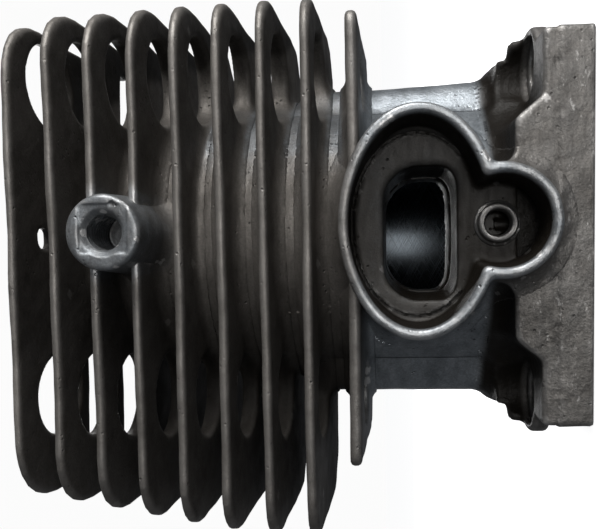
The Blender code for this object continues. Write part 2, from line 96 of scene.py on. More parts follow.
# transfer ducts: full height up to DUCT_FLAT from the X axis, gone at DUCT_EDGE
DUCT_FLAT = math.radians(17)
DUCT_EDGE = math.radians(33)
DUCT_R_RIGHT = 26.2
DUCT_R_LEFT = 27.2
DUCT_SHOULDER = 3.0               # height over which a duct's top fades into the barrel
DUCT_DRAFT = 0.04                 # the right duct spreads towards the flange
DUCT_DRAFT_TOP = 31
CHANNEL_IN_R = 24.2
CHANNEL_OUT_R = 25.4
CHANNEL_HALF = math.radians(17)
TRANSFER_Z = 35.0
TRANSFER_HALF_Y = 5.5
TRANSFER_HALF_Z = 3.6

# base flange
LUG_R = 6.0
SCREW_X = FLANGE_REACH - LUG_R
SCREW_Y = 16.7
SCREW_R = 3.1
SEAT_R = 4.75
SEAT_Z = 6.0
LUG_LOW = 4.3                     # the lugs bulge past the sides only between these heights
LUG_HIGH = 9.3
POCKET_Z = 7.0                    # the corners above the screw lugs are cut down to here
POCKET_X = 18.6
POCKET_SLOPE = 0.8                # how far the pocket wall leans in for each mm of height
POCKET_SKEW = 0.3                 # its end wall leans by this share of the lean
POCKET_Y = 14.4
POCKET_R = 4.0
STEP_Z = 4.9                      # the edge steps in a little above this height
STEP_IN = 0.22

# fillets where the pieces of the casting run into the core
FLANGE_FILLET = 4.0
SPIGOT_FILLET = 3.6
BOSS_FILLET = 2.5
FIN_FILLET = 2.6
EXHAUST_FILLET = 4.0

# intake spigot: an oval that runs into a round lobe
OVAL_HALF_Z = 10.8
OVAL_HALF_X = (SPIGOT_HIGH[0] - SPIGOT_LOW[0]) / 2
OVAL_X = (SPIGOT_HIGH[0] + SPIGOT_LOW[0]) / 2
OVAL_Z = SPIGOT_HIGH[2] - OVAL_HALF_Z
LOBE_R = 7.7
LOBE_Z = SPIGOT_LOW[2] + LOBE_R
SPIGOT_WALL = 1.4
SPIGOT_FLOOR = 27.4
SPIGOT_ROOT = 14.0
SPIGOT_DRAFT = 0.05
GROOVE_HALF = 0.22                # fine groove round the port face
IMPULSE_R = 1.85
IMPULSE_RING_R = 2.75
IMPULSE_DEPTH_Y = 25.2
DRILL_R = 1.0                     # drilling from the impulse hole down to the crankcase
DRILL_Y = 25.6
PORT_X = -0.2
PORT_HALF_X = 9.5
PORT_LOW_Z = 18.8
PORT_HIGH_Z = 29.2
PORT_R = 5.0
PORT_FLAT_R = 2.2

# cover screw boss
BOSS_X = (BOSS_LOW[0] + BOSS_HIGH[0]) / 2
BOSS_Z = (BOSS_LOW[2] + BOSS_HIGH[2]) / 2
BOSS_R = (BOSS_HIGH[0] - BOSS_LOW[0]) / 2
BOSS_DRAFT = 0.06
THREAD_R = 2.6
THREAD_PITCH = 0.8
THREAD_DEPTH = 9.0

# exhaust side
DUCT_LOW, DUCT_HIGH = span("exhaust_duct")
EXHAUST_WALL = 2.6
EXHAUST_Z = (DUCT_LOW[2] + DUCT_HIGH[2]) / 2
EXHAUST_HALF_X = DUCT_HIGH[0] - EXHAUST_WALL
EXHAUST_HALF_Z = DUCT_HIGH[2] - EXHAUST_Z - EXHAUST_WALL
EXHAUST_PORT_R = 4
EXHAUST_SCREW_X = 17.3
EXHAUST_SCREW_R = 2.1
EXHAUST_BOSS_R = 3.5

# cooling fins
FIN_FRONT = -span("cooling_fin_3")[0][1]
FIN_FRONT_R = 10.4                # front corners of the fins, smaller by FIN_R_STEP each
FIN_R_STEP = 0.4
LOW_FIN = 9
LOW_FIN_R = 2.0
FIN_DRAFT = 0.042                 # how fast each side of a fin thickens, front to middle
LOW_FIN_LEFT = -span("cooling_fin_9_left")[0][0]
LOW_FIN_RIGHT = span("cooling_fin_9_right")[1][0]
FIN_RIM = 0.72                    # half the thickness of a fin at its rim
LOW_FIN_RIM = 0.85
FIN_WAVE = 0.1                    # how far a fin bends out of its plane
ACCESS_R = 6.65
LOW_ACCESS_R = 5.0
CUT_BACK_FINS = 2                 # the top fins that are cut back on both sides
CUT_BACK_X = 18.2
FIN_REAR_X = 16
FIN_REAR_Y = 26


# ---------------------------------------------------------------- field arithmetic

def reach(*parts):
    """Length of the vector with these parts."""
    return np.sqrt(sum(part * part for part in parts))


def union(a, b, fillet=0.0):
    """The nearer of two fields, with a fillet of about that radius where they meet."""
    if fillet == 0.0:
        return np.minimum(a, b)
    share = np.maximum(fillet - np.abs(a - b), 0.0) / fillet
    return np.minimum(a, b) - share * share * fillet / 4


def both(a, b, rounding=0.0):
    """Where two fields overlap, with the edge between them rounded."""
    return -union(-a, -b, rounding)


def without(a, b, rounding=0.0):
    """The first field with the second cut out of it."""
    return both(a, -b, rounding)


def between(value, low, high):
    """A slab: negative where the value lies between low and high."""
    return np.maximum(low - value, value - high)


def rounded_box(u, v, half_u, half_v, radius):
    over_u = np.abs(u) - half_u + radius
    over_v = np.abs(v) - half_v + radius
    outside = reach(np.maximum(over_u, 0), np.maximum(over_v, 0))
    return outside + np.minimum(np.maximum(over_u, over_v), 0) - radius


def oval(u, v, half_u, half_v):
    near = reach(u / half_u, v / half_v)
    slope = reach(u / half_u ** 2, v / half_v ** 2)
    return near * (near - 1) / np.maximum(slope, 1e-6)


def smooth_step(value, low, high):
    share = np.clip((value - low) / (high - low), 0, 1)
    return share * share * (3 - 2 * share)


def ripple(x, y, z):
    """The slight unevenness of a sand-finished casting, more on the flange, none on its base."""
    size = (0.11 - 0.05 * smooth_step(z, 9, 13)) * smooth_step(z, 0.2, 1.0)
    wave = np.sin(0.43 * x + 0.61 * y + 0.3) + np.sin(0.52 * y - 0.37 * z + 2.0)
    wave = wave + np.sin(0.71 * z + 0.33 * x + 4.1) + 0.6 * np.sin(1.3 * x - 1.1 * y + 0.9 * z)
    return size * wave / 3.6


def polygon_field(corners):
    """Signed distance to a closed outline of (x, y, radius) corners, drawn counter-clockwise."""
    points = np.array(rounded_polygon(corners))
    following = np.roll(points, -1, axis=0)

    def field(x, y):
        nearest = np.full(np.broadcast(x, y).shape, 1e9)
        crossings = np.zeros(nearest.shape, dtype=bool)
        for (ax, ay), (bx, by) in zip(points, following):
            edge_x = bx - ax
            edge_y = by - ay
            along = ((x - ax) * edge_x + (y - ay) * edge_y) / (edge_x ** 2 + edge_y ** 2)
            along = np.clip(along, 0, 1)
            away_x = x - ax - along * edge_x
            away_y = y - ay - along * edge_y
            nearest = np.minimum(nearest, away_x ** 2 + away_y ** 2)
            if ay != by:
                spans = (ay > y) != (by > y)
                crossings ^= spans & (x < ax + (y - ay) * edge_x / edge_y)
        return np.where(crossings, -1, 1) * np.sqrt(nearest)

    return field


def rounded_polygon(corners, steps=6):
    """Points along an outline whose (x, y, radius) corners are drawn as arcs."""
    points = []
    for i, (x, y, radius) in enumerate(corners):
        here = Vector((x, y))
        back = (Vector(corners[i - 1][:2]) - here).normalized()
        ahead = (Vector(corners[(i + 1) % len(corners)][:2]) - here).normalized()
        half = back.angle(ahead) / 2
        centre = here + (back + ahead).normalized() * radius / math.sin(half)
        first = here + back * radius / math.tan(half) - centre
        turn = first.angle_signed(here + ahead * radius / math.tan(half) - centre)
        for j in range(steps + 1):
            angle = -turn * j / steps
            spoke_x = first.x * math.cos(angle) - first.y * math.sin(angle)
            spoke_y = first.x * math.sin(angle) + first.y * math.cos(angle)
            points.append((centre.x + spoke_x, centre.y + spoke_y))
    return points


# ---------------------------------------------------------------- meshing

SHARP_ANGLE = math.radians(50)
SETTLING_ROUNDS = 4


def sample(field, points):
    return field(points[:, 0], points[:, 1], points[:, 2])


def settle(field, points, step):
    """Moves points onto the zero surface along the field's own slope."""
    nudge = step * 0.15
    for _ in range(SETTLING_ROUNDS):
        slope = np.empty_like(points)
        for axis in range(3):
            ahead = points.copy()
            ahead[:, axis] += nudge
            behind = points.copy()
            behind[:, axis] -= nudge
            slope[:, axis] = (sample(field, ahead) - sample(field, behind)) / (2 * nudge)
        steep = np.maximum((slope * slope).sum(1), 0.05)
        move = -slope * (sample(field, points) / steep)[:, None]
        size = np.sqrt((move * move).sum(1))[:, None]
        points = points + move * np.minimum(1, 0.4 * step / np.maximum(size, 1e-9))
    return points


def surface_net(field, low, high, step):
    """Vertices and quads of a field's zero surface inside a box, one vertex for each cell."""
    axes = [np.arange(a - 1.5 * step, b + 2.5 * step, step) for a, b in zip(low, high)]
    x, y, z = np.meshgrid(*axes, indexing="ij", sparse=True)
    shape = tuple(len(a) for a in axes)
    values = np.broadcast_to(field(x, y, z), shape)
    inside = values < 0
    cells = tuple(n - 1 for n in shape)

    def corner(array, offset):
        return array[tuple(slice(o, o + n) for o, n in zip(offset, cells))]

    count = sum(corner(inside, o).astype(np.int8) for o in itertools.product((0, 1), repeat=3))
    mixed = (count > 0) & (count < 8)
    number = np.full(cells, -1, dtype=np.int64)
    number[mixed] = np.arange(mixed.sum())
    total = np.zeros((mixed.sum(), 3))
    weight = np.zeros(mixed.sum())
    for axis in range(3):
        for side in itertools.product((0, 1), repeat=2):
            start = list(side)
            start.insert(axis, 0)
            end = list(side)
            end.insert(axis, 1)
            first = corner(values, start)[mixed]
            second = corner(values, end)[mixed]
            crossed = (first < 0) != (second < 0)
            place = np.array(start, dtype=float) + np.zeros((len(first), 3))
            place[:, axis] = first / np.where(crossed, first - second, 1)
            total[crossed] += place[crossed]
            weight[crossed] += 1
    origin = np.array([a[0] for a in axes])
    points = origin + step * (np.argwhere(mixed) + total / weight[:, None])
    quads = []
    for axis in range(3):
        one, two = [a for a in range(3) if a != axis]
        first = [slice(1, -1)] * 3
        first[axis] = slice(0, -1)
        second = list(first)
        second[axis] = slice(1, None)
        starts = inside[tuple(first)]
        crossed = starts != inside[tuple(second)]
        where = np.argwhere(crossed)
        where[:, one] += 1
        where[:, two] += 1
        ring = []
        for back_one, back_two in ((1, 1), (0, 1), (0, 0), (1, 0)):
            cell = where.copy()
            cell[:, one] -= back_one
            cell[:, two] -= back_two
            ring.append(number[tuple(cell.T)])
        ring = np.stack(ring, 1)
        flip = starts[crossed] == (axis == 1)
        ring[flip] = ring[flip][:, ::-1]
        quads.append(ring)
    return settle(field, points, step), np.concatenate(quads)


def piece(node, field, low, high, step, look, slot):
    """Meshes a field as a named piece on the root body that stands for a CAD node."""
    name = f"{node}_cast"
    points, quads = surface_net(field, low, high, step)
    mesh = bpy.data.meshes.new(name)
    mesh.from_pydata(points * MM + AXIS, [], quads.tolist())
    mesh.validate()
    mesh.shade_smooth()
    mesh.set_sharp_from_angle(angle=SHARP_ANGLE)
    mesh.materials.append(look)
    for label, value in MARKS.items():
        layer = mesh.attributes.new(label, "FLOAT", "POINT")
        layer.data.foreach_set("value", sample(value, points).astype(np.float32))
    made = bpy.data.objects.new(name, mesh)
    bpy.context.scene.collection.objects.link(made)
    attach(made, "root")
    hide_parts(node)


# ---------------------------------------------------------------- the body everything grows from

def core_plan(x, y, z):
    """Outside of the barrel with its two transfer ducts, and of the head above it."""
    angle = np.arctan2(np.abs(y), np.abs(x))
    share = 1 - smooth_step(angle, DUCT_FLAT, DUCT_EDGE)
    height = 1 - smooth_step(z, DUCT_TOP - DUCT_SHOULDER, DUCT_TOP + 0.5)
    swell = (np.where(x > 0, DUCT_R_RIGHT, DUCT_R_LEFT) - BARREL_R) * share * height
    flare = DUCT_DRAFT * np.maximum(DUCT_DRAFT_TOP - z, 0) * share * (x > 0)
    neck = (HEAD_R - BARREL_R) * smooth_step(z, BORE_TOP - 2, BORE_TOP + 2)
    taper = (HEAD_TOP_R - HEAD_R) * np.clip((z - HEAD_NECK_Z) / (HEAD_TOP - HEAD_NECK_Z), 0, 1)
    return reach(x, y) - (BARREL_R + swell + flare + neck + taper)


def intake_passage(x, y, z):
    """Port from the spigot's floor to the bore, narrower and flatter at the bore."""
    deep = smooth_step(y, -SPIGOT_FLOOR, -BORE_R)
    middle_z = (PORT_LOW_Z - 2.0 + PORT_HIGH_Z) / 2
    wide = rounded_box(x - PORT_X, z - middle_z, PORT_HALF_X - 1.3 * deep,
                       PORT_HIGH_Z - middle_z - 0.4 * deep, PORT_R)
    flat = PORT_LOW_Z + 1.2 * deep - z
    return np.maximum(both(wide, flat, PORT_FLAT_R), y)


def exhaust_passage(x, y, z):
    """Straight port from the bore out through the exhaust flange."""
    window = rounded_box(x, z - EXHAUST_Z, EXHAUST_HALF_X, EXHAUST_HALF_Z, EXHAUST_PORT_R)
    return np.maximum(window, -y)


def transfer_passage(x, y, z):
    """Windows from both transfer channels into the bore."""
    window = rounded_box(y, z - TRANSFER_Z, TRANSFER_HALF_Y, TRANSFER_HALF_Z, 1.5)
    return np.maximum(window, reach(x, y) - CHANNEL_IN_R - 0.5)


def passages(x, y, z):
    """Everything that opens the wall of the bore."""
    ports = np.minimum(intake_passage(x, y, z), exhaust_passage(x, y, z))
    return np.minimum(ports, transfer_passage(x, y, z))


def transfer_channel(x, y, z):
    """Gas channel inside each duct, open at the base."""
    angle = np.arctan2(np.abs(y), np.abs(x))
    ring = between(reach(x, y), CHANNEL_IN_R, CHANNEL_OUT_R)
    sides = (angle - CHANNEL_HALF) * CHANNEL_IN_R
    return both(both(ring, sides, 1.0), z - TRANSFER_Z - TRANSFER_HALF_Z, 1.5)


def bore_liner(x, y, z):
    """Running surface of the bore, cut through by its ports."""
    ring = between(reach(x, y), BORE_R, LINER_R + 0.15)
    return without(both(ring, between(z, 0, BORE_TOP), 0.3), passages(x, y, z), 0.8)


def barrel_wall(x, y, z):
    """Round wall outside the liner, from the flange up to the head."""
    outer = core_plan(x, y, z) - 0.02
    round_wall = np.maximum(reach(x, y) - BARREL_R, outer)
    shell = np.maximum(round_wall, LINER_R - 0.1 - reach(x, y))
    wall = np.maximum(shell, between(z, FLANGE_Z - 0.6, BORE_TOP + 0.2))
    return without(wall + ripple(x, y, z), passages(x, y, z), 0.4)


def transfer_duct(side):
    """The part of the core outside the barrel's round wall, on one side."""
    def field(x, y, z):
        angle = np.arctan2(np.abs(y), side * x)
        shell = core_plan(x, y, z) + ripple(x, y, z)
        patch = (angle - DUCT_EDGE + 0.02) * BARREL_R
        within = np.maximum(patch, BARREL_R - 0.6 - reach(x, y))
        shell = np.maximum(np.maximum(shell, within), between(z, FLANGE_Z - 0.6, DUCT_TOP + 0.3))
        shell = without(shell, transfer_channel(x, y, z), 0.5)
        return without(shell, transfer_passage(x, y, z), 0.5)
    return field


def grown(own, base, fillet, bury=0.4):
    """A solid with its fillet onto a base, and only a thin skin of the base itself."""
    whole = union(own, base, fillet)
    near = own - fillet * 0.85
    return np.maximum(np.maximum(whole, near), -(base + bury))


def thread_turn(along, pitch, u, v):
    """Where a point lies on a screw thread, as the share of a turn from 0 to 1."""
    return np.mod(along / pitch + np.arctan2(v, u) / (2 * math.pi), 1.0)


# ---------------------------------------------------------------- base flange

def screw_distance(x, y):
    """Distance from the axis of the nearest base screw."""
    return reach(np.abs(x) - SCREW_X, np.abs(y) - SCREW_Y)


def flange_solid(x, y, z):
    """Square flange with dented edges, lugs that bulge at its sides and four corner pockets."""
    square = rounded_box(x, y, FLANGE_HALF, FLANGE_HALF, 0.9)
    edge_step = STEP_IN * smooth_step(z, STEP_Z - 0.15, STEP_Z + 0.15)
    dents = 0.16 * smooth_step(np.sin(1.9 * x + 0.4 * z) + np.sin(0.83 * x + 1.0), 1.1, 1.8)
    dents = dents * (1 - smooth_step(np.abs(z - STEP_Z), 0.2, 0.9))
    slab = both(square + edge_step + dents, -z, 0.45)
    slab = both(slab, z - FLANGE_Z, 0.6)
    lug = screw_distance(x, y) - LUG_R
    lug = both(lug, between(z, LUG_LOW, LUG_HIGH), 0.7)
    slab = union(slab, lug, 0.8)
    lean = POCKET_SLOPE * (z - POCKET_Z)
    end = POCKET_Y - POCKET_SKEW * lean
    pocket = both(POCKET_X - lean - np.abs(x), end - np.abs(y), POCKET_R)
    pocket = both(pocket, POCKET_Z - z, 0.8)
    return without(slab, pocket, 0.9) + ripple(x, y, z)


def spigot_plan(x, z, growth=0.0):
    """Outline of the spigot, an oval with a round lobe, pushed outwards by the growth."""
    wide = oval(x - OVAL_X, z - OVAL_Z, OVAL_HALF_X, OVAL_HALF_Z) - growth
    lobe = reach(x - OVAL_X, z - LOBE_Z) - LOBE_R - growth
    return union(wide, lobe, 1.2)


def spigot_hollow(x, y, z):
    """Room inside the rim: a sloping wall, a fine groove and the raised port face."""
    lean = 0.09 * (y + SPIGOT_FACE)
    room = both(spigot_plan(x, z, -SPIGOT_WALL) + lean, y + SPIGOT_FLOOR, 0.8)
    ring = oval(x - OVAL_X, z - OVAL_Z, OVAL_HALF_X - 2.75, OVAL_HALF_Z - 1.5)
    groove = both(np.abs(ring) - GROOVE_HALF, y + SPIGOT_FLOOR - 0.35, 0.2)
    groove = both(groove, 18.0 - z, 0.5)
    return union(room, groove, 0.15)


def impulse_drill(x, y, z):
    """Drilling that joins the impulse hole to the crankcase."""
    return np.maximum(reach(x - OVAL_X, y + DRILL_Y) - DRILL_R, z - LOBE_Z)


def base_flange(x, y, z):
    """The flange with its fillet on the barrel, screw holes and seats, bore and channels."""
    body = core_plan(x, y, z)
    solid = grown(flange_solid(x, y, z), body, FLANGE_FILLET)
    solid = np.maximum(solid, between(z, 0, FLANGE_Z + 3.5))
    hole = screw_distance(x, y) - SCREW_R
    seat = np.maximum(screw_distance(x, y) - SEAT_R, SEAT_Z - z)
    solid = without(solid, hole, 0.4)
    solid = without(solid, seat, 0.5)
    solid = without(solid, reach(x, y) - LINER_R + 0.1, 0.2)
    solid = without(solid, transfer_channel(x, y, z), 0.5)
    lobe = np.maximum(spigot_plan(x, z) + 0.5, y + 24.2)
    return without(without(solid, lobe), impulse_drill(x, y, z), 0.2)


# ---------------------------------------------------------------- intake side

def spigot_solid(x, y, z):
    """The spigot without its hollow, slightly wider at its root."""
    draft = SPIGOT_DRAFT * (y + SPIGOT_FACE)
    outer = spigot_plan(x, z) - draft
    return both(outer, between(y, -SPIGOT_FACE, -SPIGOT_ROOT), 0.8)


def intake_spigot(x, y, z):
    """Rim round the intake port and the impulse hole, with its fillet on barrel and flange."""
    base = union(core_plan(x, y, z), flange_solid(x, y, z), FLANGE_FILLET)
    solid = grown(spigot_solid(x, y, z), base, SPIGOT_FILLET)
    solid = np.maximum(solid + ripple(x, y, z), 0.3 - z)
    solid = np.maximum(solid, BARREL_R - 0.6 - reach(x, y))
    solid = without(solid, spigot_hollow(x, y, z), 0.7)
    solid = without(solid, intake_passage(x, y, z), 1.0)
    hole = both(reach(x - OVAL_X, z - LOBE_Z) - IMPULSE_R, y + IMPULSE_DEPTH_Y, 0.5)
    return without(without(solid, hole, 0.2), impulse_drill(x, y, z))


def impulse_fitting(x, y, z):
    """Raised ring round the impulse hole, on a slightly wider foot."""
    away = reach(x - OVAL_X, z - LOBE_Z)
    ring = between(away, IMPULSE_R, IMPULSE_RING_R)
    top = between(y, -SPIGOT_FLOOR - 1.3, -SPIGOT_FLOOR + 0.4)
    tube = both(ring, top, 0.5)
    foot_ring = between(away, IMPULSE_R, IMPULSE_RING_R + 0.5)
    foot = both(foot_ring, between(y, -SPIGOT_FLOOR - 0.35, -SPIGOT_FLOOR + 0.4), 0.3)
    return union(tube, foot, 0.5)


def cover_boss_solid(x, y, z):
    away = reach(x - BOSS_X, z - BOSS_Z)
    flare = BOSS_DRAFT * (y + BOSS_FACE)
    return both(away - BOSS_R - flare, between(y, -BOSS_FACE, -HEAD_TOP_R + 2), 0.9)


def cover_screw_boss(x, y, z):
    """Round boss with a threaded hole, and a square dent and a pit in its face."""
    solid = grown(cover_boss_solid(x, y, z), core_plan(x, y, z), BOSS_FILLET)
    depth = y + BOSS_FACE
    turn = thread_turn(depth, THREAD_PITCH, x - BOSS_X, z - BOSS_Z)
    groove = 0.28 * np.abs(2 * turn - 1)
    away = reach(x - BOSS_X, z - BOSS_Z)
    thread = np.maximum(away - THREAD_R - groove + 0.14, depth - THREAD_DEPTH)
    mouth = away - THREAD_R - 0.9 + depth
    square = both(rounded_box(x - BOSS_X - 0.5, z - BOSS_Z + 0.2, 3.4, 3.5, 0.5), depth - 0.2, 0.2)
    pit = reach(x - BOSS_X - 3.9, z - BOSS_Z + 1.6, depth * 1.2) - 0.45
    solid = solid + ripple(x, y, z)
    solid = without(solid, np.minimum(thread, mouth), 0.15)
    return without(without(solid, square, 0.3), pit, 0.2)


# ---------------------------------------------------------------- exhaust side

def exhaust_duct(x, y, z):
    """Short tube from the barrel to the exhaust flange."""
    tube = rounded_box(x, z - EXHAUST_Z, EXHAUST_HALF_X + EXHAUST_WALL,
                       EXHAUST_HALF_Z + EXHAUST_WALL, 6)
    tube = np.maximum(tube, between(y, 14, PLATE_LOW[1] + 0.4))
    solid = grown(tube, core_plan(x, y, z), EXHAUST_FILLET) + ripple(x, y, z)
    solid = np.maximum(solid, BARREL_R - 0.6 - reach(x, y))
    return without(solid, exhaust_passage(x, y, z), 0.5)


def exhaust_flange(x, y, z):
    """Plate that the muffler bolts to, with the port and two screw holes."""
    half_x = (PLATE_HIGH[0] - PLATE_LOW[0]) / 2
    half_z = (PLATE_HIGH[2] - PLATE_LOW[2]) / 2
    waist = 2.0 * (1 - smooth_step(np.abs(np.abs(x) - 11), 0, 7))
    plan = rounded_box(x, z - EXHAUST_Z, half_x, half_z, 4) + waist * 0.4
    plate = both(plan, between(y, PLATE_LOW[1], PLATE_HIGH[1]), 0.6)
    plate = without(plate, exhaust_passage(x, y, z), 0.5)
    screw = reach(np.abs(x) - EXHAUST_SCREW_X, z - EXHAUST_Z) - EXHAUST_SCREW_R
    return without(plate, screw, 0.5)


def exhaust_screw_boss(side):
    """Blind threaded boss behind one screw hole of the exhaust flange."""
    def field(x, y, z):
        away = reach(side * x - EXHAUST_SCREW_X, z - EXHAUST_Z)
        length = between(y, 20, PLATE_LOW[1] + 0.4)
        solid = both(away - EXHAUST_BOSS_R - 0.02 * (30 - y), length, 1.2)
        turn = thread_turn(y, THREAD_PITCH, x, z - EXHAUST_Z)
        bore = np.maximum(away - 2.05 + 0.2 * np.abs(2 * turn - 1), 21.5 - y)
        return without(solid + ripple(x, y, z), bore, 0.1)
    return field


# ---------------------------------------------------------------- head

def combustion_head(x, y, z):
    """Closed end of the bore: a domed chamber below, the spark plug's well above."""
    away = reach(x, y)
    solid = both(core_plan(x, y, z) + ripple(x, y, z), between(z, BORE_TOP - 0.2, HEAD_TOP), 0.7)
    well = both(away - WELL_R - 0.08 * (z - WELL_Z), WELL_Z - z, 1.6)
    solid = without(solid, well, 0.6)
    dome = oval(away, z - BORE_TOP, DOME_R, DOME_TOP - BORE_TOP)
    return without(without(solid, dome, 0.5), away - PLUG_R, 0.3)


def spark_plug_boss(x, y, z):
    """Seat of the spark plug at the bottom of the well, with its thread."""
    away = reach(x, y)
    turn = thread_turn(z, PLUG_PITCH, x, y)
    hole = away - PLUG_R - 0.45 * np.abs(2 * turn - 1)
    mouth = away - PLUG_R - 1.3 + (PLUG_SEAT_Z - z)
    seat = both(away - WELL_R + 0.6, between(z, WELL_Z - 0.3, PLUG_SEAT_Z), 0.6)
    return without(seat, np.minimum(hole, mouth), 0.15)


# ---------------------------------------------------------------- cooling fins

def fin_corners(number, left, right):
    """Plan of a fin as (x, y, radius) corners, full width only at the intake side."""
    corner = LOW_FIN_R if number == LOW_FIN else FIN_FRONT_R - FIN_R_STEP * number
    front = [(-left, -FIN_FRONT, corner), (right, -FIN_FRONT, corner)]
    rear = [(FIN_REAR_X, FIN_REAR_Y, 3), (-FIN_REAR_X, FIN_REAR_Y, 3)]
    if number <= CUT_BACK_FINS:
        right_side = [(right, 1, 1.2), (30.6, 1, 1.2), (30.6, -3.6, 1.2),
                      (CUT_BACK_X, -3.6, 1.2)]
        left_side = [(-CUT_BACK_X, -7, 1.2), (-left, -7, 3)]
    else:
        right_side = [(right, 1, 2), (right - 4, 6.5, 2), (18, 8, 2)]
        left_side = [(-FIN_REAR_X, 14, 1.5), (-left + 9, 14, 4), (-left, 1, 3)]
    return front + right_side + rear + left_side


def cooling_fin(number, side=0):
    """Node, field and box of a fin; the lowest one comes as two halves, side -1 and 1."""
    name = f"cooling_fin_{number}" + {0: "", -1: "_left", 1: "_right"}[side]
    low, high = span(name)
    middle = (low[2] + high[2]) / 2
    left = -low[0] if side <= 0 else LOW_FIN_LEFT
    right = high[0] if side >= 0 else LOW_FIN_RIGHT
    plan = polygon_field(fin_corners(number, left, right))
    access_r = LOW_ACCESS_R if number == LOW_FIN else ACCESS_R
    rim = LOW_FIN_RIM if number == LOW_FIN else FIN_RIM

    def field(x, y, z):
        edge = plan(x, y) + 0.12 * np.sin(0.23 * y + 0.31 * x + number)
        front_hole = reach(np.abs(x) - SCREW_X, y + SCREW_Y) - access_r
        sheet = without(edge, front_hole, 0.3)
        height = z - middle + FIN_WAVE * np.sin(0.07 * x + 0.05 * y + 1.7 * number)
        thick = rim + FIN_DRAFT * np.clip(FIN_FRONT - 1 - np.abs(y), 0, 22)
        flat = np.abs(height) - thick
        fin = both(sheet, flat, 0.9) + ripple(x, y, z)
        fin = grown(fin, core_plan(x, y, z), FIN_FILLET, 0.5)
        fin = np.maximum(fin, np.abs(height) - 2.7)
        if number == 1:
            fin = both(fin, z - HEAD_TOP, 0.6)
            slot = rounded_box(x - 0.5, y + 19.9, 1.6, 2.3, 1.2)
            fin = without(fin, slot, 0.4)
        if number in (3, 4):
            fin = without(fin, cover_boss_solid(x, y, z) + 0.5)
        if middle < DUCT_TOP:
            fin = np.maximum(fin, y - 9)
        if side:
            fin = np.maximum(fin, -side * x)
            fin = without(fin, np.maximum(spigot_plan(x, z) + 0.5, y + SPIGOT_ROOT))
        return fin

    return name, field, low - 3.4, high + 3.4


# ---------------------------------------------------------------- materials

# dark brown used as painted shade in the spigot, on the flange top and between the fins
PAINTED_SHADE_BROWN = (0.007, 0.0056, 0.0042, 1.0)
DULL_SILVER = (0.19, 0.21, 0.23, 1.0)
CLEAN_SILVER = (0.36, 0.39, 0.42, 1.0)
PLATING = (0.065, 0.075, 0.085, 1.0)
BURNT_OIL = (0.03, 0.026, 0.022, 1.0)
HONED = (0.15, 0.165, 0.18, 1.0)


class Nodes:
    """Short hand for adding linked shader nodes to one material."""

    def __init__(self, name):
        self.material = bpy.data.materials.new(name)
        self.material.use_nodes = True
        self.tree = self.material.node_tree
        self.shader = self.tree.nodes["Principled BSDF"]
        self.place = self.add("ShaderNodeTexCoord").outputs["Object"]

    def add(self, kind, **settings):
        made = self.tree.nodes.new(kind)
        for key, value in settings.items():
            setattr(made, key, value)
        return made

    def feed(self, socket, value):
        if isinstance(value, bpy.types.NodeSocket):
            self.tree.links.new(value, socket)
        else:
            socket.default_value = value

    def scaled(self, x, y, z):
        """Object coordinates times a scale, so that 1000 turns metres into millimetres."""
        mapping = self.add("ShaderNodeMapping")
        self.feed(mapping.inputs["Vector"], self.place)
        mapping.inputs["Scale"].default_value = (x, y, z)
        return mapping.outputs["Vector"]

    def noise(self, scale, detail=4.0, roughness=0.55, stretch=(1, 1, 1)):
        """Noise with this many bumps for each millimetre."""
        made = self.add("ShaderNodeTexNoise")
        self.feed(made.inputs["Vector"], self.scaled(*(s / MM for s in stretch)))
        made.inputs["Scale"].default_value = scale
        made.inputs["Detail"].default_value = detail
        made.inputs["Roughness"].default_value = roughness
        return made.outputs["Fac"]

    def ramp(self, value, stops):
        """A value carried from the range low to high, to the range out_low to out_high."""
        made = self.add("ShaderNodeMapRange")
        made.clamp = True
        self.feed(made.inputs["Value"], value)
        low, high, out_low, out_high = stops
        made.inputs["From Min"].default_value = low
        made.inputs["From Max"].default_value = high
        made.inputs["To Min"].default_value = out_low
        made.inputs["To Max"].default_value = out_high
        return made.outputs["Result"]

    def math(self, operation, a, b=0.0):
        made = self.add("ShaderNodeMath", operation=operation)
        self.feed(made.inputs[0], a)
        self.feed(made.inputs[1], b)
        return made.outputs[0]

    def mix(self, share, a, b, blend="MIX"):
        made = self.add("ShaderNodeMix", data_type="RGBA", blend_type=blend)
        self.feed(made.inputs["Factor"], share)
        self.feed(made.inputs["A"], a)
        self.feed(made.inputs["B"], b)
        return made.outputs["Result"]

    def mark(self, label):
        return self.add("ShaderNodeAttribute", attribute_name=label).outputs["Fac"]

    def edge(self):
        return self.add("ShaderNodeNewGeometry").outputs["Pointiness"]

    def bump(self, height, distance, strength=1.0, before=None):
        made = self.add("ShaderNodeBump")
        made.inputs["Strength"].default_value = strength
        made.inputs["Distance"].default_value = distance * MM
        self.feed(made.inputs["Height"], height)
        if before is not None:
            self.feed(made.inputs["Normal"], before)
        return made.outputs["Normal"]


def grey(level, warm=0.0):
    """A grey that is redder by the share warm, and bluer where that is negative."""
    return (level * (1 + warm), level, level * (1 - warm), 1.0)


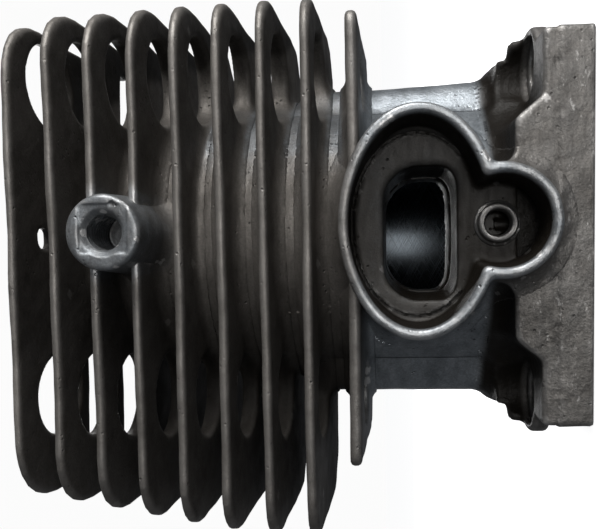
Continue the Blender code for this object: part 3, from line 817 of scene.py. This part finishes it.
def cast_look():
    """Sand-finished aluminium, from dark to silver as the silver mark says; that mark also paints
    light on the core's +X side and a highlight on the spigot's lip.

    It has blotches, fine grain and pits, worn lighter edges, painted shade in its hollows and,
    from the shade mark, painted shade in the spigot, on the flange top and between the fins.
    """
    n = Nodes("cast_aluminium")
    bright = n.mark("bright")
    blotch = n.ramp(n.noise(0.13, 3.0), (0.34, 0.66, 0.0, 1.0))
    streak = n.ramp(n.noise(0.3, 5.0, 0.62, (1, 1, 4)), (0.3, 0.72, 0.0, 1.0))
    smear = n.ramp(n.noise(0.3, 5.0, 0.65, (0.4, 1, 1)), (0.35, 0.7, 0.0, 1.0))
    dark = n.mix(blotch, grey(0.075, 0.1), grey(0.14, 0.08))
    dark = n.mix(n.math("MULTIPLY", streak, 0.6), dark, grey(0.2, 0.07))
    middle = n.mix(blotch, grey(0.115, 0.04), grey(0.19, 0.03))
    silver = n.mix(smear, DULL_SILVER, CLEAN_SILVER)
    # the silver mark, partly painted light on the core's +X side and on the spigot's lip, sets how
    # silver the colour is
    level = n.math("ADD", bright, n.ramp(n.noise(0.35, 5.0, 0.6), (0.3, 0.7, -0.12, 0.12)))
    colour = n.mix(n.ramp(level, (0.05, 0.5, 0.0, 1.0)), dark, middle)
    colour = n.mix(n.ramp(level, (0.5, 0.95, 0.0, 1.0)), colour, silver)
    fine = n.noise(3.0, 3.0, 0.7)
    colour = n.mix(n.ramp(fine, (0.35, 0.75, 0.62, 1.0)), grey(0.01), colour)
    pits = n.add("ShaderNodeTexVoronoi")
    n.feed(pits.inputs["Vector"], n.scaled(1 / MM, 1 / MM, 1 / MM))
    pits.inputs["Scale"].default_value = 0.9
    pit = n.ramp(pits.outputs["Distance"], (0.05, 0.22, 1.0, 0.0))
    pit = n.math("MULTIPLY", pit, n.ramp(n.noise(0.25, 2.0), (0.5, 0.62, 0.0, 1.0)))
    colour = n.mix(n.math("MULTIPLY", pit, 0.6), colour, grey(0.012))
    edge = n.edge()
    ragged = n.math("ADD", edge, n.ramp(n.noise(0.4, 4.0), (0.3, 0.7, -0.014, 0.014)))
    worn = n.ramp(ragged, (0.515, 0.575, 0.0, 0.8))
    worn = n.math("MULTIPLY", worn, n.mark("exposed"))
    # painted shade: hollows and creases darkened where pointiness is low
    hollow = n.math("MULTIPLY", n.ramp(edge, (0.485, 0.43, 0.0, 0.6)), n.mark("exposed"))
    colour = n.mix(hollow, colour, grey(0.02, 0.1))
    # painted shade from the shade mark, in dark brown
    colour = n.mix(n.mark("painted_shade"), colour, PAINTED_SHADE_BROWN)
    wear = n.mix(bright, grey(0.21, 0.05), grey(0.62, 0.0))
    colour = n.mix(n.math("MULTIPLY", worn, n.ramp(n.mark("painted_shade"), (0.0, 0.9, 1.0, 0.12))),
                   colour, wear)
    scuff = n.ramp(n.noise(0.55, 6.0, 0.7, (1, 1, 2)), (0.6, 0.7, 0.0, 0.7))
    scuff = n.math("MULTIPLY", scuff, n.math("MULTIPLY", n.mark("coarse"), n.mark("exposed")))
    scuff = n.math("MULTIPLY", scuff, n.ramp(n.mark("painted_shade"), (0.0, 0.3, 1.0, 0.0)))
    colour = n.mix(scuff, colour, grey(0.42, 0.02))
    n.feed(n.shader.inputs["Base Color"], colour)
    # the painted shade also takes away the metal's reflection
    n.feed(n.shader.inputs["Metallic"], n.ramp(n.mark("painted_shade"), (0.0, 0.8, 0.6, 0.0)))
    n.shader.inputs["Specular IOR Level"].default_value = 0.15
    rough = n.ramp(bright, (0.0, 1.0, 0.56, 0.36))
    rough = n.math("ADD", rough, n.ramp(streak, (0.0, 1.0, 0.08, -0.08)))
    n.feed(n.shader.inputs["Roughness"], n.math("SUBTRACT", rough, n.math("MULTIPLY", worn, 0.1)))
    coarse = n.math("MULTIPLY", n.noise(0.7, 4.0, 0.6), n.ramp(n.mark("coarse"), (0, 1, 0.35, 1)))
    first = n.bump(coarse, 0.22)
    second = n.bump(fine, 0.05, 0.9, first)
    n.feed(n.shader.inputs["Normal"], n.bump(n.math("MULTIPLY", pit, -1.0), 0.12, 1.0, second))
    return n.material


def machined_look(name, base, roughness, lines, plane):
    """Cut face with fine arcs left by the tool; plane names the axes that the arcs lie in."""
    n = Nodes(name)
    rings = n.add("ShaderNodeTexWave", wave_type="RINGS", rings_direction=plane)
    n.feed(rings.inputs["Vector"], n.scaled(1 / MM, 1 / MM, 1 / MM))
    rings.inputs["Scale"].default_value = lines
    rings.inputs["Distortion"].default_value = 0.6
    rings.inputs["Detail"].default_value = 2.0
    stain = n.ramp(n.noise(0.16, 5.0, 0.65), (0.35, 0.72, 0.0, 1.0))
    colour = n.mix(stain, base, tuple(c * 0.55 for c in base[:3]) + (1.0,))
    scratch = n.ramp(n.noise(0.5, 6.0, 0.75, (1, 6, 1)), (0.52, 0.7, 0.0, 0.5))
    colour = n.mix(scratch, colour, tuple(min(1.0, c * 1.4) for c in base[:3]) + (1.0,))
    edge = n.edge()
    colour = n.mix(n.ramp(edge, (0.52, 0.58, 0.0, 0.7)), colour, grey(0.7))
    # painted shade: creases darkened where pointiness is low
    colour = n.mix(n.ramp(edge, (0.485, 0.43, 0.0, 0.8)), colour, grey(0.03))
    n.feed(n.shader.inputs["Base Color"], colour)
    n.shader.inputs["Metallic"].default_value = 0.85
    n.feed(n.shader.inputs["Roughness"],
           n.ramp(stain, (0.0, 1.0, roughness - 0.06, roughness + 0.14)))
    first = n.bump(rings.outputs["Fac"], 0.02)
    n.feed(n.shader.inputs["Normal"], n.bump(n.noise(2.5, 3.0, 0.7), 0.02, 0.8, first))
    return n.material


def plated_look():
    """Plated bore: a dark mirror with crossed honing scratches and a varnished band."""
    n = Nodes("plated_bore")
    parts = n.add("ShaderNodeSeparateXYZ")
    n.feed(parts.inputs["Vector"], n.place)
    across = n.math("SUBTRACT", parts.outputs["X"], float(AXIS[0]))
    around = n.math("ARCTAN2", parts.outputs["Y"], across)
    around = n.math("MULTIPLY", around, BORE_R)
    up = n.math("MULTIPLY", parts.outputs["Z"], 1 / MM)
    scratches = []
    for lean in (0.55, -0.55):
        line = n.math("ADD", n.math("MULTIPLY", around, lean), up)
        joined = n.add("ShaderNodeCombineXYZ")
        n.feed(joined.inputs["X"], n.math("MULTIPLY", line, 5.0))
        n.feed(joined.inputs["Y"], n.math("MULTIPLY", around, 0.12))
        made = n.add("ShaderNodeTexNoise")
        n.feed(made.inputs["Vector"], joined.outputs["Vector"])
        made.inputs["Scale"].default_value = 1.0
        made.inputs["Detail"].default_value = 3.0
        scratches.append(made.outputs["Fac"])
    hone = n.math("MAXIMUM", scratches[0], scratches[1])
    varnish = n.ramp(up, (26.0, 50.0, 0.0, 1.0))
    varnish = n.math("MULTIPLY", varnish, n.ramp(n.noise(0.1, 4.0), (0.35, 0.65, 0.2, 1.0)))
    colour = n.mix(varnish, PLATING, BURNT_OIL)
    colour = n.mix(n.ramp(hone, (0.55, 0.75, 0.0, 0.5)), colour, HONED)
    n.feed(n.shader.inputs["Base Color"], colour)
    n.shader.inputs["Metallic"].default_value = 1.0
    n.feed(n.shader.inputs["Roughness"], n.ramp(hone, (0.4, 0.8, 0.2, 0.36)))
    n.feed(n.shader.inputs["Normal"], n.bump(hone, 0.008))
    return n.material


def floor_look():
    n = Nodes("floor_paint")
    tone = n.mix(n.ramp(n.noise(0.01, 2.0), (0.3, 0.7, 0.0, 1.0)), grey(0.86), grey(0.9))
    n.feed(n.shader.inputs["Base Color"], tone)
    n.shader.inputs["Roughness"].default_value = 0.85
    n.shader.inputs["Emission Color"].default_value = grey(1.0)
    n.shader.inputs["Emission Strength"].default_value = FLOOR_GLOW
    return n.material


# ---------------------------------------------------------------- marks

# Each mark is a share, stored at every vertex of every piece and read by cast_look.

def spigot_painted_shade(x, y, z):
    """Painted shade inside the spigot, deeper in behind the rim, lighter and browner on the raised
    port face.
    """
    inner = smooth_step(-spigot_plan(x, z, -SPIGOT_WALL * 0.6), 0.0, 0.6)
    depth = smooth_step(y, -SPIGOT_FACE + 0.1, -SPIGOT_FACE + 1.2)
    face = smooth_step(y, -SPIGOT_FLOOR - 0.5, -SPIGOT_FLOOR - 0.2)
    face = face * (1 - smooth_step(y, -SPIGOT_FLOOR + 0.2, -SPIGOT_FLOOR + 0.5))
    face = face * smooth_step(z, 17.0, 20.0)
    return inner * depth * (1.0 - 0.3 * face)


def flange_painted_shade(x, y, z):
    """Painted shade on top of the flange and in its corner pockets."""
    top = smooth_step(z, POCKET_Z - 0.9, POCKET_Z + 0.2) * (1 - smooth_step(z, 12.6, 14.4))
    return top * smooth_step(y, -27.7, -27.0)


def fin_painted_shade(x, y, z):
    """Painted shade on the fins above z 31, darker further back and kept off the +X side near the
    core, where the key lamp falls.
    """
    level = smooth_step(z, 31, 36) * smooth_step(core_plan(x, y, z) + 4.0 - 0.4 * x, 0.4, 1.6)
    return level * 0.9 * smooth_step(y, -27.0, -7.0)


# painted shade: the spigot's inside, the flange top and the fins, whichever is darkest
def painted_shade(x, y, z):
    flange_and_fin_shade = np.maximum(flange_painted_shade(x, y, z), fin_painted_shade(x, y, z))
    return np.maximum(spigot_painted_shade(x, y, z), flange_and_fin_shade)


def bright(x, y, z):
    """Silver on the barrel, greyer on the flange, the spigot and the boss. The core is silver only
    on its +X side, where the key lamp falls, as painted light, and the spigot's lip gets a painted
    highlight.
    """
    barrel = smooth_step(z, 9.5, 13.0) * (1 - smooth_step(z, 31.0, 34.5))
    spigot = smooth_step(-y, 25.0, 28.0) * smooth_step(z, 3.0, 6.0) * (1 - smooth_step(z, 34, 37))
    flange = 1 - smooth_step(z, 11.5, 14.0)
    core = smooth_step(z, 31.0, 34.5) * (1 - smooth_step(z, 58.0, 63.0))
    # painted light: the core is lighter only on its +X side, towards the key lamp
    core = core * smooth_step(x, 7.0, 15.0)
    core = core * (1 - smooth_step(core_plan(x, y, z), 0.3, 1.2))
    level = np.maximum(barrel * (1 - 0.55 * spigot), np.maximum(0.37 * flange, 0.7 * core))
    boss = 1 - smooth_step(reach(x - BOSS_X, z - BOSS_Z), 6.5, 8.5)
    # painted highlight along the spigot's lip
    lip_highlight = 0.3 * smooth_step(-y, 32.0, 33.2) * (1 - smooth_step(z, 36, 38)) * (z > 3)
    return np.maximum(level + 1.4 * lip_highlight, 0.74 * boss * smooth_step(-y, 18, 26))


def coarse(x, y, z):
    """Where the casting's skin is rough and scuffed: the flange."""
    return 1 - smooth_step(z, 10.0, 13.0)


def exposed(x, y, z):
    """Zero where a patch of the casting runs out on its neighbour, which is no real edge."""
    flange = flange_solid(x, y, z)
    lobe = smooth_step(spigot_solid(x, y, z), 1.4, 2.2)
    lobe = lobe * (1 - smooth_step(spigot_solid(x, y, z), 3.6, 4.2))
    lobe = lobe * (1 - smooth_step(np.abs(flange), 0.2, 0.5)) * smooth_step(-y, 26.5, 27.3)
    return smooth_step(np.abs(core_plan(x, y, z)), 0.3, 0.8) * (1 - lobe)


# the shade mark is painted shade; the silver mark is partly painted light
MARKS = {"painted_shade": painted_shade, "bright": bright, "coarse": coarse, "exposed": exposed}


# ---------------------------------------------------------------- stage

FLOOR_GLOW = 0.86
BACKDROP = 0.97
CAMERA_PLACE = (-4.645, -123.329, 29.461)     # millimetres about the bore axis
CAMERA_TURN = (-171.5504, 85.2714, 101.7665)  # degrees; the part lies on its side in view
CAMERA_LENS = 40.0
CAMERA_SHIFT = (-0.0472, 0.0664)
FLOOR_HALF = 40.0                             # metres
FLOOR_DROP = 0.0002
AMBIENT = 0.13
LIGHTS_AIM = (0.0, 0.0, 0.04)
LIGHTS = (                                    # name, place, width and height, watts, colour
    ("key", (0.36, -0.20, 0.09), (0.2, 0.25), 2.6, (1.0, 0.99, 0.97)),
    ("front", (0.10, -0.43, -0.06), (0.35, 0.35), 1.6, (1.0, 0.985, 0.96)),
    ("rear", (0.05, 0.40, 0.25), (0.4, 0.3), 1.5, (1.0, 1.0, 1.0)),
)


def add_camera():
    data = bpy.data.cameras.new("camera")
    data.sensor_width = 36.0
    data.lens = CAMERA_LENS
    data.shift_x, data.shift_y = CAMERA_SHIFT
    data.clip_start = 0.005
    data.clip_end = 100.0
    camera = bpy.data.objects.new("camera", data)
    camera.location = np.array(CAMERA_PLACE) * MM + AXIS
    camera.rotation_euler = Euler([math.radians(v) for v in CAMERA_TURN], "XYZ")
    bpy.context.scene.collection.objects.link(camera)
    bpy.context.scene.camera = camera


def add_light(name, place, size, power, colour):
    data = bpy.data.lights.new(name, "AREA")
    data.shape = "RECTANGLE"
    data.size, data.size_y = size
    data.energy = power
    data.color = colour
    light = bpy.data.objects.new(name, data)
    light.location = place
    aim = Vector(LIGHTS_AIM) - Vector(place)
    light.rotation_euler = aim.to_track_quat("-Z", "Y").to_euler()
    bpy.context.scene.collection.objects.link(light)


def add_world():
    """Soft ambient light on the part, behind it a plain pale backdrop that only shows."""
    world = bpy.data.worlds.new("studio")
    world.use_nodes = True
    bpy.context.scene.world = world
    tree = world.node_tree
    ambient = tree.nodes["Background"]
    ambient.inputs["Color"].default_value = (0.92, 0.95, 1.0, 1.0)
    ambient.inputs["Strength"].default_value = AMBIENT
    backdrop = tree.nodes.new("ShaderNodeBackground")
    backdrop.inputs["Color"].default_value = (1.0, 1.0, 1.0, 1.0)
    backdrop.inputs["Strength"].default_value = BACKDROP
    rays = tree.nodes.new("ShaderNodeLightPath")
    pick = tree.nodes.new("ShaderNodeMixShader")
    tree.links.new(rays.outputs["Is Camera Ray"], pick.inputs["Fac"])
    tree.links.new(ambient.outputs["Background"], pick.inputs[1])
    tree.links.new(backdrop.outputs["Background"], pick.inputs[2])
    tree.links.new(pick.outputs["Shader"], tree.nodes["World Output"].inputs["Surface"])


def add_floor():
    """Wide glowing floor that neither lights the part nor shows as a reflection in it."""
    mesh = bpy.data.meshes.new("floor")
    turns = ((-1, -1), (1, -1), (1, 1), (-1, 1))
    corners = [(FLOOR_HALF * x, FLOOR_HALF * y, -FLOOR_DROP) for x, y in turns]
    mesh.from_pydata(corners, [], [(0, 1, 2, 3)])
    mesh.materials.append(floor_look())
    floor = bpy.data.objects.new("floor", mesh)
    floor.visible_diffuse = False
    floor.visible_glossy = False
    bpy.context.scene.collection.objects.link(floor)


def add_stage():
    bpy.context.scene.view_settings.view_transform = "Standard"
    add_world()
    for light in LIGHTS:
        add_light(*light)
    add_floor()


# ---------------------------------------------------------------- the pieces

def build_pieces():
    cast = cast_look()
    face = machined_look("machined_face", grey(0.42, 0.01), 0.3, 3.0, "Y")
    seat = machined_look("machined_seat", grey(0.45, 0.01), 0.28, 3.5, "Z")
    ring = machined_look("machined_ring", grey(0.22, 0.02), 0.32, 3.0, "Y")
    plated = plated_look()
    r = BARREL_R
    liner = LINER_MESH_R
    piece("bore_liner", bore_liner, (-liner, -liner, 0), (liner, liner, BORE_TOP), 0.6,
          plated, "plated_bore")
    piece("barrel_wall", barrel_wall, (-r, -r, FLANGE_Z - 1), (r, r, BORE_TOP + 1), 0.65, cast,
          "bright_casting")
    for word, side in (("left", -1), ("right", 1)):
        low, high = span(f"transfer_duct_{word}")
        margin = np.array([1.0, 4.0, 1.0])
        piece(f"transfer_duct_{word}", transfer_duct(side), low - margin, high + margin, 0.5,
              cast, "bright_casting")
        low, high = span(f"exhaust_screw_boss_{word}")
        piece(f"exhaust_screw_boss_{word}", exhaust_screw_boss(side), low - 1, high + 1, 0.3,
              cast, "casting")
    low, high = span("base_flange")
    piece("base_flange", base_flange, low, high + np.array([0, 0, 4]), 0.42, cast, "casting")
    piece("intake_spigot", intake_spigot, SPIGOT_LOW - np.array([5, 0, 5]),
          SPIGOT_HIGH + np.array([5, 6, 5]), 0.33, cast, "bright_casting")
    low, high = span("impulse_fitting")
    piece("impulse_fitting", impulse_fitting, low - 1, high + 1, 0.15, ring, "machined_face")
    low, high = span("exhaust_duct")
    piece("exhaust_duct", exhaust_duct, low - 4, high + 4, 0.5, cast, "bright_casting")
    low, high = span("exhaust_flange")
    piece("exhaust_flange", exhaust_flange, low, high, 0.4, face, "machined_face")
    piece("cover_screw_boss", cover_screw_boss, BOSS_LOW - np.array([3, 0, 5]),
          BOSS_HIGH + np.array([3, 3, 3]), 0.25, cast, "machined_face")
    piece("combustion_head", combustion_head, *span("combustion_head"), 0.55, cast, "casting")
    piece("spark_plug_boss", spark_plug_boss, *span("spark_plug_boss"), 0.3, seat,
          "machined_face")
    for number, side in [(n, 0) for n in range(1, LOW_FIN)] + [(LOW_FIN, -1), (LOW_FIN, 1)]:
        name, field, low, high = cooling_fin(number, side)
        piece(name, field, low, high, 0.5, cast, "casting")


build_pieces()
add_stage()
add_camera()
